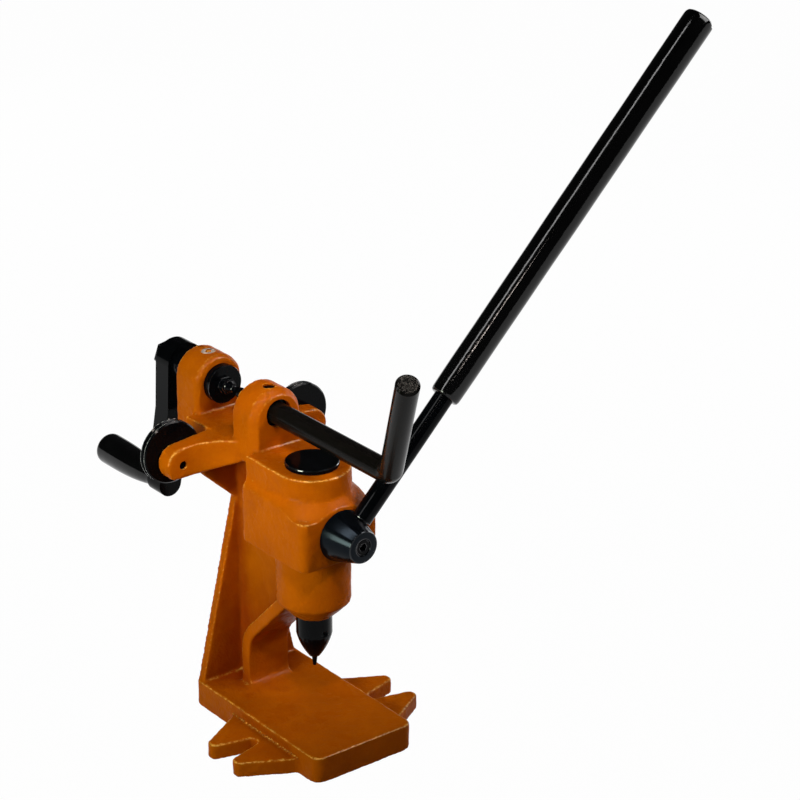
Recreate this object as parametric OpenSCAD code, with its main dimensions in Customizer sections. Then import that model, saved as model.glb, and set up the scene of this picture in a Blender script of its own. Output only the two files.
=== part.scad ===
// Bench tool for saw chain: a lever-driven punch that presses rivets out,
// and above it a crank-turned head that spins new rivets closed.
// Millimetres. Z is the ram axis, the base stands on Z = 0 and -Y is the front.

/* [Base] */
// Width of the base plate
base_w = 84; // [76:1:96]
// Reach of the base plate in front of the ram axis
base_front = 58; // [50:1:70]
// Reach of the base plate behind the ram axis
base_rear = 87; // [84:1:100]
// Thickness of the base plate
base_t = 19.5; // [15:0.5:26]
// Corner radius of the base plate at the front
base_corner_r = 7; // [3:0.5:12]
// Corner radius of the base plate at the rear
base_rear_r = 2.5; // [1:0.5:6]
// Reach of each bolt-down ear from the middle of the base
ear_reach = 79; // [72:1:90]
// Thickness of the bolt-down ears
ear_t = 11.5; // [8:0.5:14]
// Length of an ear's root along the base
ear_root_l = 78; // [64:1:90]
// Middle of the ears behind the ram axis
ear_y = 2; // [-6:1:10]
// Distance between the two prong tips of an ear
prong_pitch = 30; // [26:1:40]
// Radius of a prong's tip
prong_tip_r = 5.5; // [3:0.5:6]
// Width of the bolt slot at its closed end
slot_w = 9; // [7:0.5:12]
// Bolt slot's closed end, from the middle of the base
slot_x = 54; // [50:1:60]

/* [Column] */
// Thickness of the rear flange
flange_t = 7; // [6:0.5:12]
// Width of the rear flange at the base
flange_foot_w = 80; // [70:1:84]
// Width of the rear flange at its waist
flange_waist_w = 17; // [16:1:40]
// Height of the waist of the rear flange
waist_z = 157; // [140:1:165]
// Width of the rear flange's gussets under the roller arms
gusset_w = 69; // [50:1:72]
// Thickness of the web
web_t = 12; // [8:1:26]
// Width of the rib round the throat
rib_w = 35; // [28:1:44]
// Thickness of the rib round the throat
rib_t = 9; // [6:0.5:12]
// Depth of the throat behind the ram axis
throat_depth = 56; // [50:1:60]
// Height of the throat where it starts to bend forward
throat_bend_z = 44; // [36:1:54]
// Radius of the throat's upper bend
throat_r = 26; // [16:1:34]
// Slope of the throat above its bend
throat_slope = 45; // [36:1:55]
// Fillet between the throat and the base
foot_r = 8; // [4:1:14]

/* [Ram housing] */
// Width of the housing block
block_w = 64; // [60:1:72]
// Front face of the block, ahead of the ram axis
block_front = 32.5; // [30:0.5:40]
// Back face of the block, behind the ram axis
block_back = 38.5; // [36:0.5:44]
// Underside of the block
block_bottom_z = 147; // [140:1:150]
// Upper edge of the block's sides
block_top_z = 183; // [180:1:190]
// Corner radius of the block
block_corner_r = 6; // [3:0.5:9]
// Width of the neck above the block
neck_w = 54; // [50:1:58]
// Drop of the neck's flat top below the spindle
neck_drop = 24.8; // [22:0.2:28]
// Height of the sloped shoulder round the neck
shoulder_h = 10; // [5:0.5:14]
// Diameter of the lower guide boss
boss_d = 52; // [46:1:56]
// Lower end of the guide boss
boss_bottom_z = 96; // [90:1:102]
// Bevel of the boss's lower edge
boss_bevel = 12; // [4:0.5:12]
// Diameter of the cap on the neck
cap_d = 37.5; // [37:0.5:44]
// Thickness of the cap's rim
cap_t = 3.5; // [2:0.5:5]
// Depth of the cap's plug in the bore
cap_plug = 5; // [3:0.5:7]

/* [Breaker ram] */
// Diameter of the ram's head
ram_d = 34; // [33:0.5:36]
// Diameter of the ram's stem
stem_d = 25.4; // [23:0.2:26]
// Lower end of the ram's head, with the lever up
ram_head_z = 146; // [143:1:150]
// Bottom of the spring's seat in the boss
spring_seat_z = 116; // [112:1:120]
// Lower end of the straight stem
nose_z = 81.5; // [76:0.5:84]
// Length of the ram's tapered nose
nose_l = 18.5; // [12:0.5:22]
// Swell of the nose beyond a straight taper
nose_swell = 1.2; // [0:0.1:2]
// Diameter of the nose's lower end
nose_tip_d = 7.8; // [7:0.1:10]
// Diameter of the punch's shank
punch_shank_d = 5; // [4:0.1:6]
// Length of the punch's shank in the ram
punch_shank_l = 32; // [24:1:40]
// Reach of the punch below the nose
punch_l = 8; // [5:0.5:12]
// Diameter of the punch at its root
punch_root_d = 4.2; // [3:0.1:5]
// Diameter of the punch's tip
punch_tip_d = 2.4; // [1.6:0.1:3]
// Diameter of the screw that holds the punch
punch_screw_d = 5; // [4:0.5:6]
// Wire diameter of the return spring
spring_wire_d = 3.2; // [2:0.1:3.4]
// Turns of the return spring
spring_turns = 5; // [3:1:5]

/* [Lever] */
// Height of the lever shaft
lever_z = 168; // [164:1:170]
// Lever's angle above level, at rest
lever_angle = 45; // [30:0.2:60]
// Angle the lever swings down through
lever_swing = 64; // [50:1:66]
// Offset of the shaft's eccentric pin
ecc = 9.5; // [7:0.1:9.6]
// Diameter of the eccentric pin
ecc_pin_d = 9; // [7:0.5:9]
// Diameter of the shaft's journal
shaft_d = 29; // [28.5:0.5:30]
// Wall of the shaft's bush
bush_wall = 2.5; // [1.5:0.25:3]
// Diameter of the shaft's spigot in the hub
spigot_d = 16; // [15:0.5:18]
// Diameter of the hub at the block
hub_d = 37.4; // [35:0.2:42]
// Diameter of the hub's front end
hub_nose_d = 23; // [22:0.2:30]
// Length of the hub
hub_l = 24.5; // [23:0.5:30]
// Distance of the lever from the ram axis
lever_y = 40; // [39.8:0.1:42]
// Diameter of the lever's rod
lever_d = 14; // [12:0.5:15]
// Diameter of the rod's threaded end
lever_thread_d = 10; // [8:0.5:11]
// Lever's length from the shaft
lever_l = 436; // [320:1:460]
// Start of the grip sleeve along the lever
grip_start = 116; // [80:1:200]
// Diameter of the grip sleeve's lower end
grip_d = 21.4; // [18:0.2:24]
// Diameter of the grip sleeve's outer end
grip_end_d = 23; // [18:0.2:26]

/* [Riveting head] */
// Height of the spindle
spindle_z = 233.3; // [230:0.1:240]
// Distance from the ram axis to the plane of the chain
chain_y = 91; // [90:0.5:94]
// Front face of the front lug, behind the ram axis
front_lug_y = 38; // [36:0.5:42]
// Thickness of the front lug
front_lug_t = 25; // [20:0.5:28]
// Half width of the front lug
front_lug_r = 21.5; // [20:0.5:26]
// Drop of the front lug's round top below the spindle
front_lug_drop = 4.5; // [0:0.5:6]
// Bevel round the front lug's front face
front_lug_bevel = 6; // [2:0.5:8]
// Front face of the rear lug, behind the ram axis
rear_lug_y = 109; // [107:0.5:114]
// Thickness of the rear lug
rear_lug_t = 26.5; // [22:0.5:30]
// Half width of the rear lug
rear_lug_r = 19.5; // [18:0.5:24]
// Bevel round the rear lug's front face
rear_lug_bevel = 3; // [1:0.5:5]
// Top of the saddle between the lugs
saddle_z = 212.5; // [208:0.5:215]
// Width of the saddle's top
saddle_w = 52; // [40:1:56]
// Diameter of the spindle
spindle_d = 16; // [13:0.5:17]
// Wall of the spindle's bushes
spindle_bush_wall = 3; // [2:0.5:4]
// Length of each spindle bush
spindle_bush_l = 9; // [6:0.5:10]
// Diameter of the riveting anvil's collar
collar_d = 28; // [24:0.5:34]
// Thickness of the riveting anvil's collar
collar_t = 6.2; // [4:0.2:7]
// Gap between the two anvils
anvil_gap = 1.4; // [0.8:0.1:3]
// Diameter of the anvils' points
anvil_tip_d = 4.6; // [3:0.1:6]
// Diameter of the oiler in the rear lug
oiler_d = 10; // [8:0.5:12]

/* [Pressure screw] */
// Diameter of the bent bar
bar_d = 16; // [13:0.5:17]
// Wall of the threaded bush
screw_bush_wall = 2; // [1.5:0.25:3.5]
// Recess of the threaded bush behind the lug's face
screw_bush_recess = 4; // [1:0.5:8]
// Reach of the bar ahead of the ram axis, up to its bend
bar_reach = 79.5; // [74:0.5:90]
// Bend radius at the middle of the bar
bar_bend_r = 13; // [11:0.5:20]
// Angle the bar is bent through
bar_bend = 58.5; // [45:0.5:90]
// Length of the bar's handle beyond the bend
bar_handle_l = 106; // [70:1:120]
// Lean of the handle about the bar, at rest
bar_lean = -19.5; // [-30:0.5:30]
// Diameter of the pressure anvil's body
anvil_d = 8; // [6:0.5:9]

/* [Crank] */
// Crank radius
crank_r = 91.6; // [70:0.2:100]
// Lean of the crank from straight down, at rest
crank_lean = 10.8; // [0:0.2:20]
// Front face of the crank's arm, behind the ram axis
crank_y = 151; // [148:0.5:160]
// Thickness of the crank's arm
crank_t = 16; // [10:0.5:18]
// Width of the arm at the spindle
crank_hub_d = 31; // [28:0.5:34]
// Width of the arm below its flare
crank_shank_w = 21; // [19:0.2:26]
// Length of the flare below the spindle
crank_flare_l = 36; // [26:1:48]
// Width of the arm at the grip
crank_end_d = 18.6; // [17:0.2:24]
// Diameter of the hub in front of the arm
crank_boss_d = 26; // [24:0.5:28]
// Width across the flats of the nut behind the arm
crank_nut_af = 20; // [18:0.5:22]
// Thickness of the nut behind the arm
crank_nut_t = 9; // [7:0.5:11]
// Length of the crank's grip
crank_grip_l = 66.5; // [50:0.5:90]
// Diameter of the grip near the arm
crank_grip_neck_d = 15; // [14:0.5:18]
// Largest diameter of the grip
crank_grip_d = 23.4; // [19:0.2:28]
// Diameter of the grip's pin
grip_pin_d = 8; // [6:0.5:9]

/* [Guide rollers] */
// Distance between the rollers
roller_span = 110; // [108:1:118]
// Height of the rollers' middles
roller_z = 201.5; // [198:0.5:203]
// Offset of an axle below its roller's middle, which sets the chain's height
axle_drop = 5; // [0:0.5:6]
// Diameter of a roller
roller_d = 45.5; // [40:0.5:47]
// Width of a roller
roller_w = 6.5; // [5.5:0.5:8]
// Width of the groove for the chain's drive links
groove_w = 1.8; // [1.4:0.1:2.4]
// Depth of the groove
groove_depth = 5; // [3:0.5:8]
// Diameter of the axles
axle_d = 6.4; // [5:0.2:9]
// Thickness of the roller arms at their ends
arm_t = 13; // [10:0.5:14]
// Radius of the roller arms' ends
arm_end_r = 12.5; // [10:0.5:14]
// Reach of the arm's sweep along the front lug
arm_sweep = 22; // [12:1:24]
// Lower edge of the arm's front face at its root
arm_lip_z = 198; // [190:0.5:202]

/* [Fits] */
// Clearance of running and sliding fits, on the radius
run_fit = 0.07; // [0.05:0.01:0.09]
// Clearance of pieces that stay put, on the radius
seat_fit = 0.03; // [0.01:0.01:0.06]
// Gap between faces that turn past each other
face_gap = 0.4; // [0.3:0.05:0.6]
// Play of the eccentric pin in the ram's groove, each side
groove_play = 0.4; // [0.3:0.05:0.6]

/* [Hidden] */
$fn = 64;
EPS = 0.01;

paint = "#d2700c";
blackened = "#22242a";
satin = "#3a3d42";
bright = "#9a9da0";
bronze = "#a8824a";
spring_steel = "#6a6e74";

flange_y = base_rear - flange_t;
neck_top_z = spindle_z - neck_drop;
ram_top_z = neck_top_z - cap_plug - 2.5;
boss_chamfer = min(boss_bevel, (boss_d - stem_d) / 2 - 1);
ram_bore_d = ram_d + 2 * run_fit;
bush_d = shaft_d + 2 * run_fit + 2 * bush_wall;
ecc_rise = ecc * sin(lever_swing / 2);
ecc_run = ecc * cos(lever_swing / 2);
ram_groove_h = ecc_pin_d + 2 * groove_play;
ram_groove_y = 2;
ecc_pin_end = ram_groove_y - face_gap - 1;
shaft_back = ram_d / 2 + 0.8;
shaft_front = block_front;
hub_back = block_front + face_gap;
hub_front = hub_back + hub_l;
hub_bore_l = 13;
hub_web = 3;
hub_screw_d = 7;
hub_screw_head_d = 11;
hub_screw_head_y = hub_back + hub_bore_l + hub_web;
rod_seat = 15.5;
grip_end_t = 6;
retainer_d = 6;
retainer_depth = 2;
retainer_y = (shaft_front + shaft_back) / 2;
nose_bottom_z = nose_z - nose_l;
punch_screw_z = nose_z + punch_screw_d / 2;

screw_bush_d = bar_d + 2 * run_fit + 2 * screw_bush_wall;
screw_bush_y = front_lug_y + screw_bush_recess;
front_lug_back = front_lug_y + front_lug_t;
rear_lug_back = rear_lug_y + rear_lug_t;
screw_end_y = front_lug_back - 2;
anvil_socket_l = 14;
anvil_point_l = 7;
lock_screw_d = 8.5;
lock_screw_in = 11;
lug_root = 10;
rear_lug_root = 20;
oiler_l = 5;

spindle_bore_d = spindle_d + 2 * run_fit + 2 * spindle_bush_wall;
collar_y = rear_lug_y - face_gap - collar_t;
anvil_shank_d = 8;
anvil_shank_l = 12;
nub_d = 12;
nub_l = 5;
spindle_spigot_d = 12;
crank_back = crank_y + crank_t;
nut_back = crank_back + crank_nut_t;
nut_turn = 10;
spigot_stub = 1;
cross_pin_d = 5;
cross_pin_y = (rear_lug_back + crank_y) / 2;
crank_end = [-crank_r * sin(crank_lean), spindle_z - crank_r * cos(crank_lean)];
grip_y = crank_back + face_gap;
grip_back = grip_y + crank_grip_l;
grip_head_d = 12;
grip_head_l = 4;
grip_head_y = grip_back - 8;

roller_y = chain_y - roller_w / 2;
arm_back = roller_y - face_gap;
arm_y = arm_back - arm_t;
axle_head_d = 15;
axle_head_t = 4;
axle_sunk = 2;
arm_root_z = block_top_z;
arm_end_z = roller_z - axle_drop;
gusset_z = arm_end_z - arm_end_r - 3;
gusset_rim = 5;
saddle_y = front_lug_y + front_lug_bevel + 2;
saddle_back = rear_lug_y + rear_lug_bevel + 2;
arm_heel = 6;
lock_screw_y = front_lug_y + lock_screw_in;
oiler_y = rear_lug_y + rear_lug_t / 2;

// Points of a round stretch about c, from angle a0 to a1
function arc(c, r, a0, a1, n = 10) =
    [for (i = [0:n]) c + r * [cos(a0 + (a1 - a0) * i / n), sin(a0 + (a1 - a0) * i / n)]];

// Outline of the side view's front edge: foot fillet, upright, bend and slope, grown backward by g
function throat_line(g) =
    let (
        foot_c = [throat_depth - foot_r, base_t + foot_r],
        bend_c = [throat_depth - throat_r, throat_bend_z],
        bend = arc(bend_c, throat_r + g, 0, throat_slope),
        last = bend[len(bend) - 1]
    )
    concat(
        g > 0 ? [[throat_depth + g, base_t - 1]] : concat([[foot_c[0], base_t - 1]], arc(foot_c, foot_r, -90, 0)),
        bend,
        [last + (last[0] / sin(throat_slope)) * [-sin(throat_slope), cos(throat_slope)]]
    );

// A profile drawn in Y and Z, given this width about X = 0
module across(w) {
    translate([-w / 2, 0, 0]) rotate([90, 0, 90]) linear_extrude(w) children();
}

// A profile drawn in X and Z, from y0 to y1
module along(y0, y1) {
    translate([0, y1, 0]) rotate([90, 0, 0]) linear_extrude(y1 - y0) children();
}

// A round bar along Y at height z
module bar_along(d, y0, y1, z, x = 0) {
    translate([x, y1, z]) rotate([90, 0, 0]) cylinder(d = d, h = y1 - y0);
}

// A tapered round bar along Y, d0 at y0 and d1 at y1
module taper_along(d0, d1, y0, y1, z, x = 0) {
    translate([x, y1, z]) rotate([90, 0, 0]) cylinder(d1 = d1, d2 = d0, h = y1 - y0);
}

// A rectangle with its front corners rounded by r and its rear ones by rr
module rounded_rect(x0, x1, y0, y1, r, rr) {
    polygon(concat(
        arc([x1 - rr, y1 - rr], rr, 0, 90, 8),
        arc([x0 + rr, y1 - rr], rr, 90, 180, 8),
        arc([x0 + r, y0 + r], r, 180, 270, 8),
        arc([x1 - r, y0 + r], r, 270, 360, 8)
    ));
}

// Plan of a bolt-down ear on the +X side: two prongs about an open slot
module ear_plan() {
    tip_x = ear_reach - prong_tip_r;
    for (s = [-1, 1]) {
        translate([tip_x, ear_y + s * prong_pitch / 2]) circle(prong_tip_r);
        polygon([
            [base_w / 2 - 2, ear_y],
            [slot_x - slot_w / 2, ear_y],
            [slot_x, ear_y + s * slot_w / 2],
            [tip_x, ear_y + s * (prong_pitch / 2 - prong_tip_r * 0.99)],
            [tip_x + prong_tip_r * 0.5, ear_y + s * (prong_pitch / 2 + prong_tip_r * 0.84)],
            [base_w / 2, ear_y + s * ear_root_l / 2],
            [base_w / 2 - 2, ear_y + s * ear_root_l / 2]
        ]);
    }
}

module base_plate() {
    linear_extrude(base_t)
        rounded_rect(-base_w / 2, base_w / 2, -base_front, base_rear, base_corner_r, base_rear_r);
    linear_extrude(ear_t)
        for (m = [0, 1]) mirror([m, 0])
            difference() {
                ear_plan();
                translate([slot_x, ear_y]) circle(d = slot_w);
            }
}

module rear_flange() {
    along(flange_y, base_rear)
        polygon([
            [-flange_foot_w / 2, base_t - 1], [flange_foot_w / 2, base_t - 1],
            [flange_foot_w / 2, base_t + 2], [flange_waist_w / 2, waist_z],
            [gusset_w / 2, gusset_z], [gusset_w / 2, gusset_z + gusset_rim],
            [-gusset_w / 2, gusset_z + gusset_rim], [-gusset_w / 2, gusset_z],
            [-flange_waist_w / 2, waist_z], [-flange_foot_w / 2, base_t + 2]
        ]);
}

// Web with the rib round the throat: one solid side view, hollowed from both sides
module column() {
    top_z = block_bottom_z + 2;
    difference() {
        across(rib_w)
            polygon(concat(throat_line(0), [[0, top_z], [flange_y + 1, top_z], [flange_y + 1, base_t - 1]]));
        for (s = [-1, 1])
            translate([s * (web_t + rib_w) / 2, 0, 0]) across(rib_w)
                polygon(concat(throat_line(rib_t), [[0, top_z + 1], [flange_y + 2, top_z + 1], [flange_y + 2, base_t]]));
    }
    across(web_t)
        polygon([[block_back - 1, block_bottom_z], [flange_y + 1, block_bottom_z],
            [flange_y + 1, neck_top_z - 5], [block_back - 1, neck_top_z - 5]]);
}

module block_plan() {
    rounded_rect(-block_w / 2, block_w / 2, -block_front, block_back, block_corner_r, 2);
}

module neck_plan(r) {
    circle(r);
    translate([-r, 0]) square([2 * r, front_lug_y + 2]);
}

module ram_housing() {
    translate([0, 0, block_bottom_z])
        linear_extrude(block_top_z - block_bottom_z)
            block_plan();
    translate([0, 0, block_bottom_z]) linear_extrude(neck_top_z - block_bottom_z) neck_plan(neck_w / 2);
    intersection() {
        translate([0, 0, block_top_z - EPS]) {
            cylinder(d1 = neck_w + 2 * shoulder_h, d2 = neck_w - 1, h = shoulder_h + 0.5);
            along(0, block_back)
                polygon([[-neck_w / 2 - shoulder_h, 0], [neck_w / 2 + shoulder_h, 0],
                    [neck_w / 2 - 0.5, shoulder_h + 0.5], [-neck_w / 2 + 0.5, shoulder_h + 0.5]]);
        }
        translate([0, 0, block_top_z - 1])
            linear_extrude(shoulder_h + 2)
                block_plan();
    }
    rotate_extrude()
        polygon([[0, boss_bottom_z], [boss_d / 2 - boss_chamfer, boss_bottom_z],
            [boss_d / 2, boss_bottom_z + boss_chamfer], [boss_d / 2, block_bottom_z + 2], [0, block_bottom_z + 2]]);
}

// An arched plate: round top about height z, straight sides
module arch(r, z, y0, y1, foot_z) {
    along(y0, y1) {
        translate([0, z]) circle(r);
        translate([-r, foot_z]) square([2 * r, z - foot_z]);
    }
}

// An arched lug with its front face bevelled all round
module lug(r, z, y0, y1, foot_z, bevel) {
    arch(r, z, y0 + bevel, y1, foot_z);
    hull() {
        arch(r - bevel * 0.7, z, y0, y0 + EPS, foot_z);
        arch(r, z, y0 + bevel, y0 + bevel + EPS, foot_z);
    }
}

// One roller arm on the +X side: its front view cut by its plan
module roller_arm() {
    x_end = roller_span / 2;
    root_x = front_lug_r - 2;
    sweep_c = [x_end - 4, arm_y - arm_sweep];
    intersection() {
        along(front_lug_y, arm_back)
            union() {
                translate([x_end, arm_end_z]) circle(arm_end_r);
                polygon([[0, arm_root_z], [x_end, arm_end_z - arm_end_r * 0.995],
                    [x_end, arm_end_z + arm_end_r * 0.995], [root_x, saddle_z], [0, saddle_z]]);
            }
        linear_extrude(spindle_z)
            polygon(concat(
                [[0, arm_back], [0, arm_y - arm_sweep], [root_x, arm_y - arm_sweep]],
                [for (i = [1:8]) [root_x + (sweep_c[0] - root_x) * i / 8,
                    arm_y - arm_sweep * pow(1 - i / 8, 2)]],
                [[x_end + arm_end_r + 1, arm_y], [x_end + arm_end_r + 1, arm_back]]
            ));
    }
}

module riveting_head() {
    lug(front_lug_r, spindle_z - front_lug_drop, front_lug_y, front_lug_back, neck_top_z - lug_root, front_lug_bevel);
    lug(rear_lug_r, spindle_z, rear_lug_y, rear_lug_back, saddle_z - rear_lug_root, rear_lug_bevel);
    intersection() {
        union() {
            along(front_lug_back + 3, saddle_back)
                polygon([[-saddle_w / 2 - 3, arm_root_z + 4], [saddle_w / 2 + 3, arm_root_z + 4],
                    [saddle_w / 2, saddle_z], [-saddle_w / 2, saddle_z]]);
            across(2 * rear_lug_r - 1)
                polygon([[saddle_y, arm_root_z + 4], [saddle_back, arm_root_z + 4],
                    [saddle_back, saddle_z], [saddle_y, saddle_z]]);
            for (m = [0, 1]) mirror([m, 0, 0]) roller_arm();
        }
        above_underside();
    }
}

// Everything above the arms' underside, which slopes down from the front to a flat heel
module above_underside() {
    front = arm_y - arm_sweep - 1;
    heel_z = arm_end_z - arm_end_r - EPS;
    across(2 * roller_span)
        polygon([[saddle_y - 1, arm_lip_z], [front, arm_lip_z], [arm_back - arm_heel, heel_z],
            [saddle_back + 1, heel_z], [saddle_back + 1, spindle_z], [saddle_y - 1, spindle_z]]);
}

module casting_bores() {
    translate([0, 0, boss_bottom_z - 1]) cylinder(d = stem_d + 2 * run_fit, h = spring_seat_z - boss_bottom_z + 2);
    translate([0, 0, spring_seat_z]) cylinder(d = ram_bore_d, h = neck_top_z - spring_seat_z + 1);
    bar_along(bush_d, -block_front - 1, -shaft_back, lever_z);
    bar_along(shaft_d + 1, -shaft_back - 1, 0, lever_z);
    translate([0, -retainer_y, lever_z]) rotate([0, 90, 0]) cylinder(d = retainer_d, h = block_w);
    bar_along(screw_bush_d, front_lug_y - 1, front_lug_back + 1, spindle_z);
    translate([0, lock_screw_y, spindle_z]) cylinder(d = lock_screw_d, h = front_lug_r + 1);
    bar_along(spindle_bore_d, rear_lug_y - 1, rear_lug_back + 1, spindle_z);
    translate([0, oiler_y, spindle_z + rear_lug_r - oiler_l]) cylinder(d = oiler_d, h = oiler_l + 1);
    translate([0, oiler_y, spindle_z]) cylinder(d = 3, h = rear_lug_r);
    for (s = [-1, 1]) bar_along(axle_d, arm_y - arm_sweep, arm_back + 1, arm_end_z, s * roller_span / 2);
}

module frame_casting() {
    color(paint) difference() {
        union() {
            base_plate();
            rear_flange();
            column();
            ram_housing();
            riveting_head();
        }
        casting_bores();
    }
}

// Socket for a hex key, sunk from the plane z = 0 downward
module hex_socket(across_flats, depth) {
    translate([0, 0, -depth]) cylinder(d = across_flats / cos(30), h = depth + 1, $fn = 6);
}

module ram() {
    groove_z = lever_z + ecc_rise;
    color(blackened) difference() {
        union() {
            translate([0, 0, ram_head_z]) cylinder(d = ram_d, h = ram_top_z - ram_head_z);
            translate([0, 0, nose_z]) cylinder(d = stem_d, h = ram_head_z - nose_z + 1);
            translate([0, 0, nose_bottom_z]) rotate_extrude()
                polygon(concat([[0, 0]], [for (i = [0:8]) [nose_tip_d / 2 + (stem_d - nose_tip_d) / 2 * i / 8
                    + nose_swell * i * (8 - i) / 16, nose_l * i / 8]], [[0, nose_l]]));
        }
        translate([-ram_d, -ram_d, groove_z - ram_groove_h / 2])
            cube([2 * ram_d, ram_d + ram_groove_y, ram_groove_h]);
        translate([0, 0, nose_bottom_z - 1])
            cylinder(d = punch_shank_d + 2 * seat_fit, h = punch_shank_l + 1.5);
        bar_along(punch_screw_d + 2 * seat_fit, -stem_d, 0, punch_screw_z);
    }
}

module punch_pin() {
    color(satin) {
        translate([0, 0, nose_bottom_z]) cylinder(d = punch_shank_d, h = punch_shank_l);
        translate([0, 0, nose_bottom_z - punch_l])
            cylinder(d1 = punch_tip_d, d2 = punch_root_d, h = punch_l + EPS);
    }
}

module punch_set_screw() {
    screw_l = stem_d / 2 - punch_shank_d / 2 - seat_fit - 1;
    color(blackened)
        translate([0, -stem_d / 2 + 1, punch_screw_z]) rotate([90, 0, 0])
            difference() {
                translate([0, 0, -screw_l]) cylinder(d = punch_screw_d, h = screw_l);
                hex_socket(punch_screw_d / 2, screw_l / 3);
            }
}

// Helical return spring between its seat in the boss and the ram's head
module ram_spring() {
    coil_r = (ram_bore_d + stem_d) / 4;
    sides = 6;
    steps = 12;
    rings = spring_turns * steps;
    z0 = spring_seat_z + spring_wire_d / 2 + face_gap / 2;
    rise = ram_head_z - face_gap / 2 - spring_wire_d / 2 - z0;
    points = [for (i = [0:rings], k = [0:sides - 1])
        let (a = 360 * i / steps, b = 360 * k / sides, r = coil_r + spring_wire_d / 2 * cos(b))
        [r * cos(a), r * sin(a), z0 + rise * i / rings + spring_wire_d / 2 * sin(b)]];
    wall = [for (i = [0:rings - 1], k = [0:sides - 1])
        let (a = i * sides + k, b = i * sides + (k + 1) % sides)
        each [[a, a + sides, b], [b, a + sides, b + sides]]];
    ends = [for (k = [1:sides - 2]) each [[0, k, k + 1],
        [rings * sides, rings * sides + k + 1, rings * sides + k]]];
    color(spring_steel) polyhedron(points, concat(wall, ends), convexity = 10);
}

module ram_cap() {
    color(blackened) {
        translate([0, 0, neck_top_z - cap_plug]) cylinder(d = ram_bore_d - 2 * seat_fit, h = cap_plug + EPS);
        translate([0, 0, neck_top_z]) rotate_extrude()
            polygon(concat([[0, 0], [cap_d / 2, 0]],
                arc([cap_d / 2 - 1, cap_t - 1], 1, 0, 90, 4), [[0, cap_t]]));
    }
}

module shaft_bush() {
    color(bronze) difference() {
        bar_along(bush_d - 2 * seat_fit, -block_front, -shaft_back, lever_z);
        bar_along(shaft_d + 2 * run_fit, -block_front - 1, -shaft_back + 1, lever_z);
        translate([0, -retainer_y, lever_z]) rotate([0, 90, 0]) cylinder(d = retainer_d, h = bush_d);
    }
}

// Journal with a groove for its retaining screw, a spigot for the hub and an eccentric pin for the ram
module lever_shaft() {
    spigot_front = hub_back + hub_bore_l - face_gap;
    color(satin) difference() {
        union() {
            bar_along(shaft_d, -shaft_front, -shaft_back, lever_z);
            bar_along(spigot_d, -spigot_front, -shaft_front + 1, lever_z);
            bar_along(ecc_pin_d, -shaft_back - 1, ecc_pin_end, lever_z + ecc_rise, ecc_run);
        }
        difference() {
            bar_along(shaft_d + 1, -retainer_y - retainer_d / 2 - face_gap,
                -retainer_y + retainer_d / 2 + face_gap, lever_z);
            bar_along(shaft_d - 2 * retainer_depth, -shaft_front, -shaft_back, lever_z);
        }
        bar_along(hub_screw_d + 2 * seat_fit, -spigot_front - 1, -shaft_back - 3, lever_z);
        lever_frame() translate([0, 0, hub_screw_d / 2 - 1])
            cylinder(d = lever_thread_d + 2 * seat_fit, h = spigot_d);
    }
}

module shaft_retaining_screw() {
    tip_x = shaft_d / 2 - retainer_depth + face_gap;
    head_x = block_w / 2 - 1;
    color(blackened)
        translate([head_x, -retainer_y, lever_z]) rotate([0, 90, 0])
            difference() {
                translate([0, 0, tip_x - head_x]) cylinder(d = retainer_d - 2 * seat_fit, h = head_x - tip_x);
                hex_socket(retainer_d / 2, retainer_d / 2);
            }
}

// The lever's own frame: Z runs out along the lever
module lever_frame() {
    translate([0, -lever_y, lever_z]) rotate([0, 90 - lever_angle, 0]) children();
}

module lever_hub() {
    color(blackened) difference() {
        taper_along(hub_nose_d, hub_d, -hub_front, -hub_back, lever_z);
        bar_along(spigot_d + 2 * seat_fit, -hub_back - hub_bore_l, -hub_back + 1, lever_z);
        bar_along(hub_screw_d + 2 * run_fit, -hub_front, -hub_back, lever_z);
        bar_along(hub_screw_head_d + 2 * face_gap, -hub_front - 1, -hub_screw_head_y, lever_z);
        lever_frame() {
            cylinder(d = lever_thread_d + 2 * seat_fit, h = hub_d);
            translate([0, 0, rod_seat]) cylinder(d = lever_d + 2 * seat_fit, h = hub_d);
        }
    }
}

module hub_screw() {
    head_l = hub_front - hub_screw_head_y - 0.5;
    shank_l = hub_screw_head_y - shaft_back - 6;
    color(blackened)
        translate([0, -hub_screw_head_y - head_l, lever_z]) rotate([90, 0, 0])
            difference() {
                union() {
                    translate([0, 0, -head_l]) cylinder(d = hub_screw_head_d, h = head_l);
                    translate([0, 0, -head_l - shank_l]) cylinder(d = hub_screw_d, h = shank_l + 1);
                }
                hex_socket(hub_screw_d * 0.75, head_l * 0.6);
            }
}

module lever_rod() {
    color(blackened) lever_frame() {
        translate([0, 0, hub_screw_d / 2 + 0.5]) cylinder(d = lever_thread_d, h = rod_seat);
        translate([0, 0, rod_seat]) cylinder(d = lever_d, h = lever_l - grip_end_t - face_gap - rod_seat);
    }
}

// Sleeve with a rounded shoulder below and a closed, rounded outer end
module lever_grip() {
    shoulder = (grip_d - lever_d) / 3;
    tip_round = 3;
    bore_r = lever_d / 2 + seat_fit;
    color("#17181b") lever_frame() rotate_extrude()
        polygon(concat(
            [[bore_r, grip_start]],
            arc([grip_d / 2 - shoulder, grip_start + shoulder], shoulder, -90, 0, 6),
            arc([grip_end_d / 2 - tip_round, lever_l - tip_round], tip_round, 0, 90, 6),
            [[0, lever_l], [0, lever_l - grip_end_t], [bore_r, lever_l - grip_end_t]]
        ));
}

module pressure_bush() {
    color(blackened) difference() {
        bar_along(screw_bush_d - 2 * seat_fit, screw_bush_y, front_lug_back, spindle_z);
        bar_along(bar_d + 2 * run_fit, screw_bush_y - 1, front_lug_back + 1, spindle_z);
    }
}

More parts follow.
